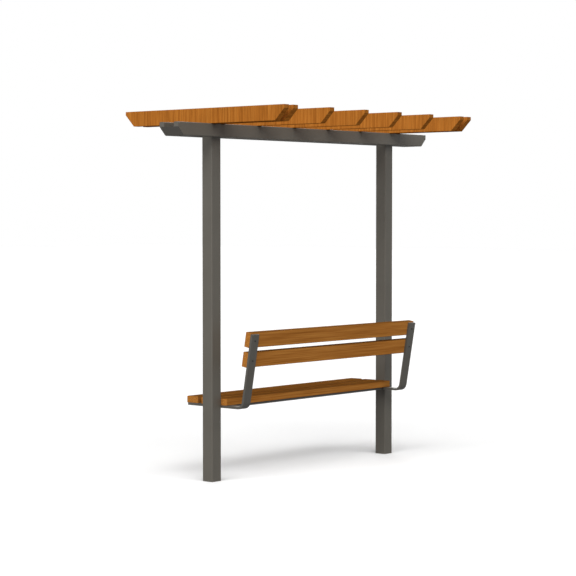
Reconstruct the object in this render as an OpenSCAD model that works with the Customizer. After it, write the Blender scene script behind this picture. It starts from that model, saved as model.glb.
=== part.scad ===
// Garden pergola with a bench between its two posts.
// Millimetres, +Z up. The origin is the middle of the first post's foot, +X runs along the
// beams to the second post, and +Y is the side that a sitter faces.

/* [Posts] */
// Distance between the axes of the two posts
post_spacing = 1691; // [1400:1:2300]
// Side of the square post tube
post_side = 80; // [70:1:100]
// Wall of the post tube
post_wall = 4; // [3:0.5:5]
// Outside corner radius of the post tube
post_round = 6; // [5.5:0.5:8]
// Thickness of the plate that closes the foot of a post
foot_thick = 6; // [4:1:12]
// Thickness of the plate that closes the top of a post
cap_thick = 4; // [3:1:8]

/* [Beams] */
// Height of the underside of the beams above the ground
beam_clear = 2057; // [1900:1:2500]
// Depth of a beam, from its underside to its top
beam_depth = 78.5; // [70:0.5:110]
// Width of a beam, across its tube
beam_width = 35; // [30:0.5:50]
// Wall of the beam tube
beam_wall = 3; // [2:0.5:4]
// Outside corner radius of the beam tube
beam_round = 5; // [4.5:0.5:7]
// Length of a beam past the axis of a post
beam_overhang = 362; // [250:1:600]
// Height of the upright part of the end of a beam
beam_nose = 28.5; // [20:0.5:45]
// Length that the slanted undercut takes off the underside of a beam
beam_cut = 48; // [30:1:80]
// Thickness of the folded plate that closes the end of a beam
end_thick = 4; // [3:0.5:6]

/* [Rafters] */
// Depth of a rafter board, from its underside to its top
rafter_depth = 91; // [70:1:140]
// Thickness of a rafter board
rafter_thick = 40; // [22:0.5:45]
// Length of a rafter along its top
rafter_length = 1283; // [1000:1:1800]
// Height of the upright part of the end of a rafter
rafter_nose = 20.5; // [15:0.5:35]
// Length that the slanted undercut takes off the underside of a rafter
rafter_cut = 70; // [40:1:110]
// Distance between the middles of the two rafters over a post
rafter_pair = 81; // [60:0.5:100]
// Gap along the beam between a post and the outer rafter of its pair
rafter_gap = 1; // [0:0.5:15]

/* [Bench planks] */
// Height of the top of the seat
seat_height = 494.5; // [420:0.5:560]
// Distance from the axes of the posts to the front edge of the seat
seat_reach = 243; // [200:1:300]
// Width of a plank
plank_width = 90; // [70:1:110]
// Thickness of a plank
plank_thick = 40; // [28:1:50]
// Rounding of the long edges of a plank
plank_round = 2.5; // [1:0.5:6]
// Gap between two seat planks
seat_gap = 27.5; // [15:0.5:45]
// Gap between the end of a plank and the post beside it
plank_clear = 2.5; // [2:0.5:20]
// Gap between the two back planks
back_gap = 30; // [15:1:60]

/* [Bench brackets] */
// Width of the flat bar of the brackets and rails
bar_width = 62; // [50:1:80]
// Thickness of the flat bar
bar_thick = 15; // [10:1:20]
// Inside radius of the bend of a bracket
bend_radius = 33.5; // [20:0.5:50]
// Distance from the front edge of the seat back to the end of a bracket
bar_setback = 8.5; // [3:0.5:20]
// Gap behind the seat planks, to the front of the upright at the level of the underside
back_space = 116; // [100:1:180]
// Lean of the back from upright, in degrees
back_lean = 9.9; // [5:0.1:15]
// Length up the upright, from the level of the underside to the lower back plank
back_rise = 254.5; // [180:0.5:320]
// Height of the upper back plank above the end of the upright
back_over = 6.5; // [0:0.5:20]

/* [Hidden] */

steel_colour = [0.41, 0.39, 0.37];
rafter_colour = [0.63, 0.40, 0.17];
plank_colour = [0.54, 0.35, 0.16];

// Sides of the round corners and bends
$fn = 48;
// Length by which a cutting shape runs past what it cuts
spare = 1;

// Posts and beams
middle_x = post_spacing / 2;
beam_top = beam_clear + beam_depth;
beam_length = post_spacing + 2 * beam_overhang;
beam_y = (post_side + beam_width) / 2;

// Undercut of a beam: its height, and the length of its slope
cut_rise = beam_depth - beam_nose;
cut_slope = sqrt(beam_cut * beam_cut + cut_rise * cut_rise);

// Rafters: the outer one of each pair stands just past the post, the other six are evenly spaced
outer_x = middle_x + post_side / 2 + rafter_gap + rafter_thick / 2;
inner_x = outer_x - rafter_pair;
even_count = 6;
even_pitch = 2 * inner_x / (even_count - 1);
rafter_offsets = concat([-outer_x], [for (i = [0 : even_count - 1]) i * even_pitch - inner_x], [outer_x]);

// Bench: levels, and the middles of the seat planks from front to back
plank_bottom = seat_height - plank_thick;
bar_bottom = plank_bottom - bar_thick;
plank_length = post_spacing - post_side - 2 * plank_clear;
seat_pitch = plank_width + seat_gap;
seat_front_y = seat_reach - plank_width / 2;
seat_middle_y = seat_front_y - seat_pitch;
seat_back_y = seat_middle_y - seat_pitch;

// Upright of a bracket: its front face leans back from this line at the level of the underside
back_y = seat_back_y - plank_width / 2 - back_space;
back_pitch = plank_width + back_gap;
upright_length = back_rise + back_pitch + plank_width - back_over;

// Bend of a bracket: its middle, and how far up the upright it ends
bend_outside = bend_radius + bar_thick;
bend_y = back_y + (bend_radius - bend_outside * sin(back_lean)) / cos(back_lean);
bend_end = bend_outside * cos(back_lean) - (bend_y - back_y) * sin(back_lean);
flat_length = seat_reach - bar_setback - bend_y;

// Flat outline of a rectangle with round corners
module round_rectangle(width, depth, radius) {
    square([width - 2 * radius, depth], center = true);
    square([width, depth - 2 * radius], center = true);
    for (x = [-1, 1], y = [-1, 1])
        translate([x * (width / 2 - radius), y * (depth / 2 - radius)])
            circle(radius);
}

// Runs an outline drawn in Y and Z along X
module along_x(length) {
    rotate([90, 0, 90])
        linear_extrude(length)
            children();
}

// Runs an outline drawn in X and Z across Y, to both sides
module across_y(width) {
    rotate([90, 0, 0])
        linear_extrude(width, center = true)
            children();
}

// X of post 1 or 2
function post_x(number) = (number - 1) * post_spacing;

// End of a beam seen from the side, at a depth below its surface: nose, knee and toe,
// with X from the end and Z from the underside
function end_line(depth) = [
    [depth, beam_depth + spare],
    [depth, cut_rise + depth * (cut_slope - cut_rise) / beam_cut],
    [beam_cut + (depth * cut_slope + spare * beam_cut) / cut_rise, -spare]
];

// The same line at the other end of the beam, from its toe up
function far_end_line(depth) = [for (i = [2 : -1 : 0]) [beam_length - end_line(depth)[i][0], end_line(depth)[i][1]]];

module post(number) {
    color(steel_colour)
        translate([post_x(number), 0, foot_thick])
            linear_extrude(beam_top - foot_thick - cap_thick)
                difference() {
                    round_rectangle(post_side, post_side, post_round);
                    round_rectangle(post_side - 2 * post_wall, post_side - 2 * post_wall, post_round - post_wall);
                }
}

module foot(number) {
    color(steel_colour)
        translate([post_x(number), 0, 0])
            linear_extrude(foot_thick)
                round_rectangle(post_side, post_side, post_round);
}

module cap(number) {
    color(steel_colour)
        translate([post_x(number), 0, beam_top - cap_thick])
            linear_extrude(cap_thick)
                round_rectangle(post_side, post_side, post_round);
}

// Places a beam on the front (1) or back (-1) of the posts, or what lies between the beams (0)
module at_beam(side) {
    translate([-beam_overhang, side * beam_y, beam_clear])
        children();
}

// Outline of a beam's tube, standing on its underside
module beam_outline(inset, radius) {
    translate([0, beam_depth / 2])
        round_rectangle(beam_width - 2 * inset, beam_depth - 2 * inset, radius);
}

module beam(side) {
    color(steel_colour)
        at_beam(side)
            intersection() {
                along_x(beam_length)
                    difference() {
                        beam_outline(0, beam_round);
                        beam_outline(beam_wall, beam_round - beam_wall);
                    }
                across_y(beam_width + 2 * spare)
                    polygon(concat(end_line(end_thick), far_end_line(end_thick)));
            }
}

// Plate at the first end of a beam, folded from the nose to the undercut
module beam_end_plate() {
    surface_line = end_line(0);
    inside_line = end_line(end_thick);
    intersection() {
        translate([-spare, 0, 0])
            along_x(inside_line[2][0] + 2 * spare)
                beam_outline(0, beam_round);
        across_y(beam_width + 2 * spare)
            polygon(concat(surface_line, [inside_line[2], inside_line[1], inside_line[0]]));
    }
}

// Plate at the first end, level with the undercuts, across the gap between the two beams
module gap_plate_across() {
    along_slope = end_thick * cut_slope / cut_rise;
    across_y(post_side)
        polygon([
            [0, cut_rise],
            [beam_cut, 0],
            [beam_cut + along_slope, 0],
            [along_slope, cut_rise]
        ]);
}

// Places what is drawn at the first end of a beam at end 1 or 2
module at_end(number) {
    if (number == 1)
        children();
    else
        translate([beam_length, 0, 0])
            mirror([1, 0, 0])
                children();
}

module beam_end(side, number) {
    color(steel_colour)
        at_beam(side)
            at_end(number)
                beam_end_plate();
}

module gap_plate(number) {
    color(steel_colour)
        at_beam(0)
            at_end(number)
                gap_plate_across();
}

module rafter(number) {
    half = rafter_length / 2;
    shoulder = rafter_depth - rafter_nose;
    color(rafter_colour)
        translate([middle_x + rafter_offsets[number - 1] - rafter_thick / 2, 0, beam_top])
            along_x(rafter_thick)
                polygon([
                    [-half, rafter_depth],
                    [-half, shoulder],
                    [rafter_cut - half, 0],
                    [half - rafter_cut, 0],
                    [half, shoulder],
                    [half, rafter_depth]
                ]);
}

// Side of the bar that the bend turns towards, from a face with this bend radius, about the
// middle of the bend: over the flat, in front of the upright and inside the bend
module bent_space(radius, extra) {
    depth = radius + bend_outside + extra;
    circle(radius);
    translate([0, -radius])
        square([flat_length + extra, depth]);
    rotate(back_lean)
        translate([-radius, 0])
            square([depth, upright_length - bend_end + extra]);
}

// Side view of a bracket, in Y and Z: flat, bend and upright
module bracket_outline() {
    translate([bend_y, bar_bottom + bend_outside])
        difference() {
            bent_space(bend_outside, 0);
            bent_space(bend_radius, spare);
        }
}

module bracket(number) {
    inner_edge = number == 1 ? post_side / 2 : post_spacing - post_side / 2 - bar_width;
    color(steel_colour)
        translate([inner_edge, 0, 0])
            along_x(bar_width)
                bracket_outline();
}

// Flat bar between the brackets, under the middle of a seat plank
module seat_rail(y) {
    start = post_side / 2 + bar_width;
    color(steel_colour)
        translate([start, y - bar_width / 2, bar_bottom])
            cube([post_spacing - 2 * start, bar_width, bar_thick]);
}

// Plank along X, lying flat with the middle of its underside on the X axis
module plank() {
    color(plank_colour)
        translate([middle_x - plank_length / 2, 0, plank_thick / 2])
            along_x(plank_length)
                round_rectangle(plank_width, plank_thick, plank_round);
}

module seat_plank(y) {
    translate([0, y, plank_bottom])
        plank();
}

// Plank on the front of the uprights, from this length up them
module back_plank(rise) {
    translate([0, back_y, bar_bottom])
        rotate([back_lean, 0, 0])
            translate([0, 0, rise + plank_width / 2])
                rotate([-90, 0, 0])
                    plank();
}

for (number = [1, 2]) {
    post(number);
    foot(number);
    cap(number);
    beam_end(1, number);
    beam_end(-1, number);
    gap_plate(number);
    bracket(number);
}
beam(1);  // beam_front
beam(-1);  // beam_back
for (number = [1 : len(rafter_offsets)])
    rafter(number);
seat_rail(seat_front_y);  // seat_rail_front
seat_rail(seat_back_y);  // seat_rail_back
seat_plank(seat_front_y);  // seat_plank_front
seat_plank(seat_middle_y);  // seat_plank_middle
seat_plank(seat_back_y);  // seat_plank_back
back_plank(back_rise);  // back_plank_lower
back_plank(back_rise + back_pitch);  // back_plank_upper
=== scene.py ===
# %% [markdown]
# # A garden pergola with a bench
# The pergola is a steel frame: square posts, twin beams, bent bench brackets and rails, all of it
# powder-coated in a grey-brown. Timber boards lie on edge across the beams, and timber planks make the
# seat and the back. The solids come ready made and at their real size, in metres. This script gives them
# their surfaces, adds the small fixings, and sets up the light and the camera.

# %% Load the frame
import math

import bmesh
import bpy
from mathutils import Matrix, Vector


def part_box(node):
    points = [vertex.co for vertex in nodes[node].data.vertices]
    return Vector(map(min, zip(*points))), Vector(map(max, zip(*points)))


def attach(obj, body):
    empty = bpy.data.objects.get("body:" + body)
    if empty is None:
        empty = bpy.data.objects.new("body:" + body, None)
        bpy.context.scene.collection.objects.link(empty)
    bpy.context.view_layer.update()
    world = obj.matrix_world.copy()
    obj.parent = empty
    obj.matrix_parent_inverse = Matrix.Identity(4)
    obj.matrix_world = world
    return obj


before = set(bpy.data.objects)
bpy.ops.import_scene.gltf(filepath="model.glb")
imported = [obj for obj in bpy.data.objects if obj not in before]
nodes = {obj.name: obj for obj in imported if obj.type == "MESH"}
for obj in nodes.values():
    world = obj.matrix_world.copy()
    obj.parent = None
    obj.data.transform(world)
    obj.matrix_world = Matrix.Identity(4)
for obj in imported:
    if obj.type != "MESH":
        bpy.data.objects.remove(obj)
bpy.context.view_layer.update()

MM = 0.001

# %% [markdown]
# ## The camera
# The photo was taken with a long lens from about eleven metres away, at head height, so upright edges
# stay nearly parallel. A camera can be aimed by hand until the picture looks right, but straight edges
# whose real places are known give the same answer exactly: this place, heading and lens come from them.

# %% The camera
CAMERA_PLACE = Vector((-8.029, -7.447, 1.596))
CAMERA_HEADING = math.radians(40.457)
CAMERA_DIP = math.radians(2.289)
LENS_MM = 114.524
VIEW_DEPTH = 200

camera_data = bpy.data.cameras.new("camera")
camera_data.lens = LENS_MM
camera_data.clip_end = VIEW_DEPTH
camera = bpy.data.objects.new("camera", camera_data)
aim = Vector((
    math.cos(CAMERA_HEADING) * math.cos(CAMERA_DIP),
    math.sin(CAMERA_HEADING) * math.cos(CAMERA_DIP),
    -math.sin(CAMERA_DIP),
))
camera.location = CAMERA_PLACE
camera.rotation_mode = "QUATERNION"
camera.rotation_quaternion = aim.to_track_quat("-Z", "Y")
bpy.context.collection.objects.link(camera)
bpy.context.scene.camera = camera
bpy.context.scene.view_settings.view_transform = "Standard"
print("camera aims along", [round(x, 3) for x in aim])

# %% [markdown]
# ## Helpers for materials
# Colours are written as they look on a screen, as sRGB hex values, but the shader works with linear
# light, so one function turns one into the other. A second adds a node: it sets the node's own options,
# then for each input it either makes a link, when it is given another node's output, or writes the value.
# With it a material reads from top to bottom, like a recipe. The last two start a material and stretch a
# pattern to the real size of its marks.

# %% Helpers for materials


def linear(hex_colour):
    """The linear colour, with alpha, of an sRGB hex value such as "#6a645c"."""
    channels = [int(hex_colour[i:i + 2], 16) / 255 for i in (1, 3, 5)]
    return (*[c / 12.92 if c <= 0.04045 else ((c + 0.055) / 1.055) ** 2.4 for c in channels], 1)


def add(tree, kind, settings=None, inputs=None, stops=None):
    """Adds a node. inputs are values or other nodes' outputs, and stops are a ramp's places and colours."""
    node = tree.nodes.new("ShaderNode" + kind)
    for name, value in (settings or {}).items():
        setattr(node, name, value)
    for name, value in (inputs or {}).items():
        if isinstance(value, bpy.types.NodeSocket):
            tree.links.new(value, node.inputs[name])
        else:
            node.inputs[name].default_value = value
    for i, (place, colour) in enumerate(stops or []):
        ramp = node.color_ramp.elements
        stop = ramp[i] if i < len(ramp) else ramp.new(place)
        stop.position = place
        stop.color = colour
    return node


def new_material(name):
    """An empty material with its tree, its shader and the place of each point in metres."""
    material = bpy.data.materials.new(name)
    material.use_nodes = True
    tree = material.node_tree
    tree.nodes.clear()
    shader = add(tree, "BsdfPrincipled")
    add(tree, "OutputMaterial", None, {"Surface": shader.outputs["BSDF"]})
    place = add(tree, "TexCoord").outputs["Object"]
    return material, tree, shader, place


def stretched(tree, place, mark_mm):
    """Places for a pattern whose marks have this size in millimetres along X, Y and Z."""
    per_metre = [1 / (size * MM) for size in mark_mm]
    return add(tree, "VectorMath", {"operation": "MULTIPLY"}, {0: place, 1: per_metre}).outputs["Vector"]


print("a middle grey, #808080, is", round(linear("#808080")[0], 3), "in linear light")

# %% [markdown]
# ## Powder-coated steel
# The steel was blasted and then coated with baked powder. That leaves a skin of plastic over the metal,
# so the surface isn't metallic to the eye: it is a matt, slightly pebbled grey-brown with a soft, wide
# sheen. The pebbles of such a coat are about 2 mm across, too fine to show here, so they are drawn 8 mm
# wide. The coat also rounds every sharp edge a little. Bevelling the solids would change them, so the
# shader bends the light there instead. The brackets and rails of the bench get a darker copy of the same
# coat, which is painted shade, so the coat is a function that takes its shades.

# %% Powder-coated steel
PEBBLE_MM = 8
PEBBLE_HEIGHT_MM = 0.4
PEBBLE_STRENGTH = 0.12
CLOUD_MM = 240
COAT_EDGE_MM = 1.5
COAT_ROUGHNESS = (0.40, 0.52)


def powder_coat(name, dark, light):
    """A baked powder coat that drifts between two shades."""
    material, tree, shader, place = new_material(name)
    pebbles = add(tree, "TexNoise", None,
                  {"Vector": place, "Scale": 1 / (PEBBLE_MM * MM), "Detail": 2.0})
    clouds = add(tree, "TexNoise", None,
                 {"Vector": place, "Scale": 1 / (CLOUD_MM * MM), "Detail": 3.0})
    tint = add(tree, "ValToRGB", None, {"Fac": clouds.outputs["Fac"]},
               stops=[(0.3, linear(dark)), (0.7, linear(light))])
    gloss = add(tree, "MapRange", None, {"Value": pebbles.outputs["Fac"],
                                         "To Min": COAT_ROUGHNESS[0], "To Max": COAT_ROUGHNESS[1]})
    edge = add(tree, "Bevel", {"samples": 6}, {"Radius": COAT_EDGE_MM * MM})
    relief = add(tree, "Bump", None,
                 {"Height": pebbles.outputs["Fac"], "Strength": PEBBLE_STRENGTH,
                  "Distance": PEBBLE_HEIGHT_MM * MM, "Normal": edge.outputs["Normal"]})
    tree.links.new(tint.outputs["Color"], shader.inputs["Base Color"])
    tree.links.new(gloss.outputs["Result"], shader.inputs["Roughness"])
    tree.links.new(relief.outputs["Normal"], shader.inputs["Normal"])
    return material


coated_steel = powder_coat("powder_coated_steel", "#57534b", "#5d5951")
# Painted shade: the bench's brackets and rails get the same coat drawn darker.
painted_shade_bench_steel = powder_coat("powder_coated_bench_steel", "#4d4a44", "#53504a")
print("made", coated_steel.name, "and", painted_shade_bench_steel.name)

# %% [markdown]
# ## What both timbers share
# Timber looks different on each side of a board. The sides show the grain and the cut ends show the
# rings. Tops that face the sky are drawn darker, which is painted shade, and so are undersides, up to and
# round the lower edges, which is painted shade too. The rafters' upright ends are drawn darker, while
# their slanted cuts are drawn lighter than the sides, which is painted light. The way a surface faces
# tells all these apart, so one function turns it into a mask from 0 to 1, and a second one shades the
# sides' colour with such masks. A span says at which part of the normal along an axis a mask starts and
# at which it is full.

# %% Masks for the sides of a board
# Painted shade on up-facing timber, as a share of the sides' colour.
PAINTED_TOP_SHADE = 0.50
# Painted shade on timber undersides and round their lower edges.
PAINTED_UNDER_SHADE = 0.55
RING_CONTRAST = 0.1
RING_MM = 5
HALF_TURNED = (0.3, 0.7)
FULLY_TURNED = (0.8, 0.95)
TURNED_UNDER = (-0.2, -0.6)


def facing(tree, normal, axis, span, both_ways=False):
    """A mask that goes from 0 to 1 as the normal's part along an axis goes through a span."""
    along = add(tree, "SeparateXYZ", None, {"Vector": normal}).outputs[axis]
    if both_ways:
        along = add(tree, "Math", {"operation": "ABSOLUTE"}, {0: along}).outputs[0]
    mask = add(tree, "MapRange", None, {"Value": along, "From Min": span[0], "From Max": span[1]})
    return mask.outputs["Result"]


def shade_each_side(tree, colour, eased, length_axis, ring_place, cut_stain_and_painted_light, nose_shade):
    """A board's colour: the sides' colour, ends' shades, painted shade on tops and, by the eased normal,
    undersides.
    """
    flat = add(tree, "TexCoord").outputs["Normal"]
    rings = add(tree, "TexWave", {"wave_type": "RINGS", "rings_direction": length_axis},
                {"Vector": ring_place, "Scale": math.pi / 10 / (RING_MM * MM), "Distortion": 2.0,
                 "Detail": 2.0, "Detail Scale": 0.4})
    # A factor for the cut ends: darker end grain on the planks, and painted light on the rafters' slanted
    # cuts.
    cut = add(tree, "MapRange", None, {"Value": rings.outputs["Fac"],
                                       "To Min": cut_stain_and_painted_light * (1 - RING_CONTRAST),
                                       "To Max": cut_stain_and_painted_light * (1 + RING_CONTRAST)})
    # Painted shade on undersides, spread round the lower edges by the eased normal.
    under = add(tree, "MapRange", None, {"Value": facing(tree, eased, "Z", TURNED_UNDER),
                                         "To Min": 1.0, "To Max": PAINTED_UNDER_SHADE})
    shade = add(tree, "Mix", {"data_type": "FLOAT"},
                {"Factor": facing(tree, flat, length_axis, HALF_TURNED, True),
                 2: under.outputs["Result"], 3: cut.outputs["Result"]})
    nose = facing(tree, flat, length_axis, FULLY_TURNED, True)
    top = facing(tree, flat, "Z", HALF_TURNED)
    for mask, full_shade in ((nose, nose_shade / cut_stain_and_painted_light), (top, PAINTED_TOP_SHADE)):
        step = add(tree, "MapRange", None, {"Value": mask, "To Min": 1.0, "To Max": full_shade})
        shade = add(tree, "Math", {"operation": "MULTIPLY"},
                    {0: shade.outputs[0], 1: step.outputs["Result"]})
    whole = add(tree, "VectorMath", {"operation": "SCALE"}, {0: colour, "Scale": shade.outputs[0]})
    return whole.outputs["Vector"]


print("rings are", RING_MM, "mm apart")

# %% [markdown]
# ## Sawn rafter boards
# The rafters are boards straight from the band saw, stained orange-brown. The saw leaves upright marks
# across the board, and the stain settles in them, so they show more than the grain. The marks are noise
# that is narrow along the board and tall across it. Marks of a real saw are about 3 mm apart, too fine to
# show here, so they are drawn 12 mm and 5 mm wide.

# %% Colour of the rafters' sides
SAW_MARK_MM = (111, 12, 333)
FINE_MARK_MM = (67, 5, 111)
FINE_MARK_SHARE = 0.45
BOARD_TONE_MM = 130
BOARD_TONE_DRIFT = 0.08

sawn_board, tree, shader, place = new_material("stained_sawn_board")
marks = add(tree, "TexNoise", None, {"Vector": stretched(tree, place, SAW_MARK_MM), "Scale": 1.0,
                                     "Detail": 4.0, "Roughness": 0.65})
fine = add(tree, "TexNoise", None, {"Vector": stretched(tree, place, FINE_MARK_MM), "Scale": 1.0,
                                    "Detail": 2.0})
tone = add(tree, "TexNoise", None, {"Vector": place, "Scale": 1 / (BOARD_TONE_MM * MM), "Detail": 1.0})
stain = add(tree, "ValToRGB", None, {"Fac": marks.outputs["Fac"]},
            stops=[(0.28, linear("#9a5a1f")), (0.5, linear("#bb722c")), (0.72, linear("#cd8539"))])
fleck = add(tree, "ValToRGB", None, {"Fac": fine.outputs["Fac"]},
            stops=[(0.3, linear("#c0c0c0")), (0.7, linear("#ffffff"))])
stained = add(tree, "Mix", {"data_type": "RGBA", "blend_type": "MULTIPLY"},
              {"Factor": FINE_MARK_SHARE, 6: stain.outputs["Color"], 7: fleck.outputs["Color"]})
drift = add(tree, "MapRange", None, {"Value": tone.outputs["Fac"], "To Min": 1 - BOARD_TONE_DRIFT,
                                     "To Max": 1 + BOARD_TONE_DRIFT})
sides = add(tree, "HueSaturation", None, {"Value": drift.outputs["Result"], "Color": stained.outputs[2]})
print("started", sawn_board.name)

# %% [markdown]
# ## The rafters' ends and relief
# Rings need a middle, the pith of the tree, which lies below the board because boards are cut from the
# side of a log. All inner rafters are the same distance apart, so folding X by that distance gives each
# of them its own rings. The saw marks also stand out a little as relief.

# %% Ends and relief of the rafters
PITH_BELOW_MM = 60
BOARD_EDGE_MM = 6
# Painted light: the rafters' slanted cuts are drawn lighter than their sides.
BOARD_CUT_PAINTED_LIGHT = 1.08
BOARD_NOSE_SHADE = 0.78
MARK_HEIGHT_MM = 0.8
MARK_STRENGTH = 0.35
FOLD_FREE = 10  # metres, wider than the object, so that Y and Z stay unfolded

first_low, first_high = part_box("rafter_2")
second_low, second_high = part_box("rafter_3")
pitch = second_low.x - first_low.x
pith = Vector(((first_low.x + first_high.x) / 2, 0, first_low.z - PITH_BELOW_MM * MM))

from_pith = add(tree, "VectorMath", {"operation": "SUBTRACT"}, {0: place, 1: pith})
folded = add(tree, "VectorMath", {"operation": "WRAP"},
             {0: from_pith.outputs["Vector"], 1: (pitch / 2, FOLD_FREE, FOLD_FREE),
              2: (-pitch / 2, -FOLD_FREE, -FOLD_FREE)})
edge = add(tree, "Bevel", {"samples": 6}, {"Radius": BOARD_EDGE_MM * MM})
board_colour = shade_each_side(tree, sides.outputs["Color"], edge.outputs["Normal"], "Y",
                               folded.outputs["Vector"], BOARD_CUT_PAINTED_LIGHT, BOARD_NOSE_SHADE)
relief = add(tree, "Bump", None, {"Height": marks.outputs["Fac"], "Strength": MARK_STRENGTH,
                                  "Distance": MARK_HEIGHT_MM * MM})
tree.links.new(board_colour, shader.inputs["Base Color"])
tree.links.new(relief.outputs["Normal"], shader.inputs["Normal"])
shader.inputs["Roughness"].default_value = 0.6
shader.inputs["Specular IOR Level"].default_value = 0.0
print("made", sawn_board.name, "with rafters", round(pitch / MM), "mm apart")

# %% [markdown]
# ## Planed bench planks
# The planks are planed and carry the same stain. Their grain runs lengthwise, along X, as long streaks.
# Real streaks are 2 or 3 mm wide, too fine to show here, so they are drawn 9 mm wide. The long edges are
# eased. The rings on the ends have one middle, as if all planks were cut side by side from one log. Like
# the rafters they have no gloss at all, since the stain soaks in and leaves no film.

# %% Planed bench planks
STREAK_MM = (450, 9, 9)
STREAK_HEIGHT_MM = 0.5
STREAK_STRENGTH = 0.25
PLANK_EDGE_MM = 5
PLANK_END_SHADE = 0.97

seat_low, seat_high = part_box("seat_plank_middle")
plank_pith = Vector((0, (seat_low.y + seat_high.y) / 2, seat_low.z - PITH_BELOW_MM * MM))

planed_plank, tree, shader, place = new_material("stained_planed_plank")
grain = add(tree, "TexNoise", None, {"Vector": stretched(tree, place, STREAK_MM), "Scale": 1.0,
                                     "Detail": 5.0, "Roughness": 0.6})
stain = add(tree, "ValToRGB", None, {"Fac": grain.outputs["Fac"]},
            stops=[(0.28, linear("#905821")), (0.5, linear("#b07233")), (0.72, linear("#c38742"))])
from_pith = add(tree, "VectorMath", {"operation": "SUBTRACT"}, {0: place, 1: plank_pith})
edge = add(tree, "Bevel", {"samples": 6}, {"Radius": PLANK_EDGE_MM * MM})
plank_colour = shade_each_side(tree, stain.outputs["Color"], edge.outputs["Normal"], "X",
                               from_pith.outputs["Vector"], PLANK_END_SHADE, PLANK_END_SHADE)
relief = add(tree, "Bump", None, {"Height": grain.outputs["Fac"], "Strength": STREAK_STRENGTH,
                                  "Distance": STREAK_HEIGHT_MM * MM, "Normal": edge.outputs["Normal"]})
tree.links.new(plank_colour, shader.inputs["Base Color"])
tree.links.new(relief.outputs["Normal"], shader.inputs["Normal"])
shader.inputs["Roughness"].default_value = 0.5
shader.inputs["Specular IOR Level"].default_value = 0.0
print("made", planed_plank.name)

# %% [markdown]
# ## Which solid gets which finish
# The solids are named for what they are, so the start of a name tells its finish. Everything that isn't
# timber or part of the bench's ironwork belongs to the frame and gets the frame's coat.

# %% Give every solid its finish
FINISHES = {"rafter": sawn_board, "seat_plank": planed_plank, "back_plank": planed_plank,
            "bracket": painted_shade_bench_steel, "seat_rail": painted_shade_bench_steel}

for name, piece in nodes.items():
    finish = next((m for start, m in FINISHES.items() if name.startswith(start)), coated_steel)
    piece.data.materials.clear()
    piece.data.materials.append(finish)
print("finished", len(nodes), "solids")

# %% [markdown]
# ## Bolts
# Button-head bolts with a hexagon socket hold the planks: the photo shows them as small dark dots on the
# back of the near bracket, one for each back plank. The bolts under the seat can't be seen, and follow
# the same pattern. They are blackened steel: a metal with a thin dark oxide that still shines a little,
# in blotches about 3 mm wide.

# %% Blackened steel
BLOTCH_MM = 3
OXIDE_ROUGHNESS = (0.35, 0.5)

blackened_steel, tree, shader, place = new_material("blackened_steel")
blotches = add(tree, "TexNoise", None, {"Vector": place, "Scale": 1 / (BLOTCH_MM * MM), "Detail": 3.0})
oxide = add(tree, "ValToRGB", None, {"Fac": blotches.outputs["Fac"]},
            stops=[(0.3, linear("#3a3835")), (0.7, linear("#4b4844"))])
gloss = add(tree, "MapRange", None, {"Value": blotches.outputs["Fac"],
                                     "To Min": OXIDE_ROUGHNESS[0], "To Max": OXIDE_ROUGHNESS[1]})
tree.links.new(oxide.outputs["Color"], shader.inputs["Base Color"])
tree.links.new(gloss.outputs["Result"], shader.inputs["Roughness"])
shader.inputs["Metallic"].default_value = 1.0
print("made", blackened_steel.name)

# %% [markdown]
# ## The shape of a bolt head
# A 6 mm bolt has a head 10.5 mm wide and 3.3 mm high, with a socket 4 mm across. The head could be cut
# from a dome with a hexagon, but a spun outline is cleaner: a ring of points for each step of it, and the
# points of the socket's rings lie on a hexagon instead of a circle.

# %% A bolt head
HEAD_RADIUS_MM = 5.25
HEAD_HEIGHT_MM = 3.3
RIM_HEIGHT_MM = 0.6
SOCKET_FLATS_MM = 4
SOCKET_DEPTH_MM = 2.0
SOCKET_EDGE_MM = 0.3
HEAD_STEPS = 48
DOME_STEPS = 5


def hexagon_reach(angle):
    """The distance from the middle of the socket to its wall at an angle."""
    return SOCKET_FLATS_MM / 2 / math.cos(angle % (math.pi / 3) - math.pi / 6)


def bolt_head_mesh():
    """A button head in metres, that stands on Z = 0 and points up."""
    socket_round = SOCKET_FLATS_MM / 2 / math.cos(math.pi / 6) + SOCKET_EDGE_MM
    steps = [(HEAD_RADIUS_MM, 0.0), (HEAD_RADIUS_MM, RIM_HEIGHT_MM)]
    for i in range(1, DOME_STEPS + 1):
        turn = i / DOME_STEPS * math.pi / 2
        steps.append((socket_round + (HEAD_RADIUS_MM - socket_round) * math.cos(turn),
                      RIM_HEIGHT_MM + (HEAD_HEIGHT_MM - RIM_HEIGHT_MM) * math.sin(turn)))
    bm = bmesh.new()
    angles = [i / HEAD_STEPS * 2 * math.pi for i in range(HEAD_STEPS)]
    rings = [[bm.verts.new((r * math.cos(a), r * math.sin(a), z)) for a in angles] for r, z in steps]
    for z in (HEAD_HEIGHT_MM, HEAD_HEIGHT_MM - SOCKET_DEPTH_MM):
        rings.append([bm.verts.new((hexagon_reach(a) * math.cos(a), hexagon_reach(a) * math.sin(a), z))
                      for a in angles])
    for lower, upper in zip(rings, rings[1:]):
        for i in range(HEAD_STEPS):
            j = (i + 1) % HEAD_STEPS
            bm.faces.new((lower[i], lower[j], upper[j], upper[i]))
    bm.faces.new(rings[-1])
    bm.faces.new(reversed(rings[0]))
    bmesh.ops.scale(bm, vec=(MM, MM, MM), verts=bm.verts)
    mesh = bpy.data.meshes.new("bolt_head")
    bm.to_mesh(mesh)
    bm.free()
    mesh.materials.append(blackened_steel)
    return mesh


head_mesh = bolt_head_mesh()
print("a bolt head has", len(head_mesh.polygons), "faces")

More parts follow.
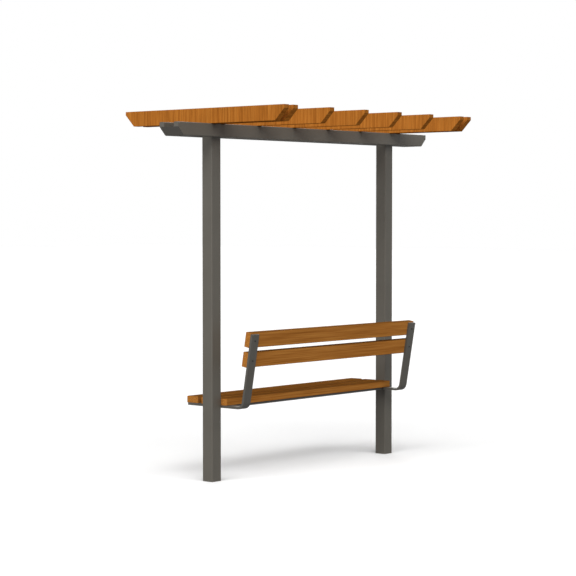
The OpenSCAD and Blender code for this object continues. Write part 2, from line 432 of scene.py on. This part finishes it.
# %% [markdown]
# ## Where the bolts sit
# Each back plank needs a bolt square to the leaning upright. The upright's rear side is the largest side
# of the bracket that looks back, so its direction and place are measured from the bracket itself. The
# seat planks are bolted from below, through the level part of the bracket.

# %% Set the bolts
LOOKS_BACK = -0.9


def set_bolt(name, point, direction):
    """Puts a bolt head on a point of a surface, pointing the way the surface looks."""
    bolt = bpy.data.objects.new(name, head_mesh)
    bolt.location = point
    bolt.rotation_mode = "QUATERNION"
    bolt.rotation_quaternion = direction.to_track_quat("Z", "Y")
    bpy.context.collection.objects.link(bolt)
    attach(bolt, "root")


bolt_count = 0
for number in (1, 2):
    bracket = nodes[f"bracket_{number}"]
    low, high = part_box(bracket.name)
    middle_x = (low.x + high.x) / 2
    rear = max((p for p in bracket.data.polygons if p.normal.y < LOOKS_BACK), key=lambda p: p.area)
    for level in ("lower", "upper"):
        plank_low, plank_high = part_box(f"back_plank_{level}")
        middle = (plank_low + plank_high) / 2
        middle.x = middle_x
        point = middle - rear.normal * (middle - rear.center).dot(rear.normal)
        set_bolt(f"back_bolt_{level}_{number}", point, rear.normal)
        bolt_count += 1
    for row in ("front", "middle", "back"):
        plank_low, plank_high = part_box(f"seat_plank_{row}")
        point = Vector((middle_x, (plank_low.y + plank_high.y) / 2, low.z))
        set_bolt(f"seat_bolt_{row}_{number}", point, Vector((0, 0, -1)))
        bolt_count += 1
lean = math.degrees(math.asin(abs(rear.normal.z)))
print("set", bolt_count, "bolts; the upright leans", round(lean, 1), "degrees")

# %% [markdown]
# ## Floor
# The photo has a plain white ground with one soft shadow under the bench. A floor lit brightly enough to
# turn pure white would also flood the object from below. So the floor is two things: a pale floor for the
# light that bounces about, and a whiter one for the camera and, faintly, for reflections. Both are matt,
# so both take the shadow. Close to the object the shadow is deeper, which ambient occlusion adds.

# %% Floor
FLOOR_REACH = 60.0
FLOOR_BOUNCE = 0.32
FLOOR_SEEN = 1.12
FLOOR_SHEEN = 0.15
CONTACT_REACH = 0.7
CONTACT_SHADE = 0.70


def seen_share(tree, mirrored_share):
    """1 for what the camera sees, also through glass, and a share of that for what is mirrored."""
    ray = add(tree, "LightPath").outputs
    looks = add(tree, "Math", {"operation": "MAXIMUM"},
                {0: ray["Is Camera Ray"], 1: ray["Is Transmission Ray"]})
    mirrored = add(tree, "Math", {"operation": "MULTIPLY"}, {0: ray["Is Glossy Ray"], 1: mirrored_share})
    seen = add(tree, "Math", {"operation": "MAXIMUM"}, {0: looks.outputs[0], 1: mirrored.outputs[0]})
    return seen.outputs[0]


bm = bmesh.new()
bmesh.ops.create_grid(bm, x_segments=1, y_segments=1, size=FLOOR_REACH)
floor_mesh = bpy.data.meshes.new("floor")
bm.to_mesh(floor_mesh)
bm.free()
floor = bpy.data.objects.new("floor", floor_mesh)
bpy.context.collection.objects.link(floor)

floor_paint = bpy.data.materials.new("white_matt_floor")
floor_paint.use_nodes = True
tree = floor_paint.node_tree
tree.nodes.clear()
hollow = add(tree, "AmbientOcclusion", {"samples": 16}, {"Distance": CONTACT_REACH})
white = add(tree, "MapRange", None, {"Value": hollow.outputs["AO"], "To Min": FLOOR_SEEN * CONTACT_SHADE,
                                     "To Max": FLOOR_SEEN})
level = add(tree, "MapRange", None, {"Value": seen_share(tree, FLOOR_SHEEN), "To Min": FLOOR_BOUNCE,
                                     "To Max": white.outputs["Result"]})
matt = add(tree, "BsdfDiffuse", None, {"Color": level.outputs["Result"]})
add(tree, "OutputMaterial", None, {"Surface": matt.outputs["BSDF"]})
floor_mesh.materials.append(floor_paint)
print("made", floor_paint.name)

# %% [markdown]
# ## Backdrop
# Behind the object the world is white to the camera and in reflections, but gives almost no light, so
# that the lamps alone decide which side of a post is bright.

# %% Backdrop
WORLD_LIGHT = 0.02

world = bpy.data.worlds.new("studio")
world.use_nodes = True
bpy.context.scene.world = world
tree = world.node_tree
tree.nodes.clear()
level = add(tree, "MapRange", None, {"Value": seen_share(tree, 1.0), "To Min": WORLD_LIGHT,
                                     "To Max": 1.0})
sky = add(tree, "Background", None, {"Color": (1, 1, 1, 1), "Strength": level.outputs["Result"]})
add(tree, "OutputWorld", None, {"Surface": sky.outputs["Background"]})
print("the backdrop is white")

# %% [markdown]
# ## Light
# In the photo the sides that look left are brightest, the backs are a little darker, and the tops of the
# posts fade under the beams. That takes light from the left and from behind the camera, both well above
# the horizon. Lamps that stand close by would fade from the near post to the far one, which the photo
# doesn't show, so these are suns, which don't fade, spread over a wide angle, which keeps their shadows
# soft. A low lamp lights the far sides.

# %% Soft lamps
LAMP_SPREAD = 40
LAMP_DISTANCE = 5


def wide_light(name, azimuth, elevation, level):
    """A wide sun, in degrees from +X and above the horizon. What faces level 1 renders as written."""
    lamp = bpy.data.lights.new(name, "SUN")
    lamp.angle = math.radians(LAMP_SPREAD)
    lamp.energy = level * math.pi
    flat = math.cos(math.radians(elevation))
    towards = Vector((flat * math.cos(math.radians(azimuth)), flat * math.sin(math.radians(azimuth)),
                      math.sin(math.radians(elevation))))
    holder = bpy.data.objects.new(name, lamp)
    holder.rotation_mode = "QUATERNION"
    holder.rotation_quaternion = towards.to_track_quat("Z", "Y")
    holder.location = towards * LAMP_DISTANCE
    bpy.context.collection.objects.link(holder)


wide_light("left_light", 180, 33, 0.54)
wide_light("corner_light", 225, 41, 0.58)
wide_light("rear_light", 270, 44, 0.30)
wide_light("far_light", 45, 10, 0.48)
print("four wide lamps light the object")
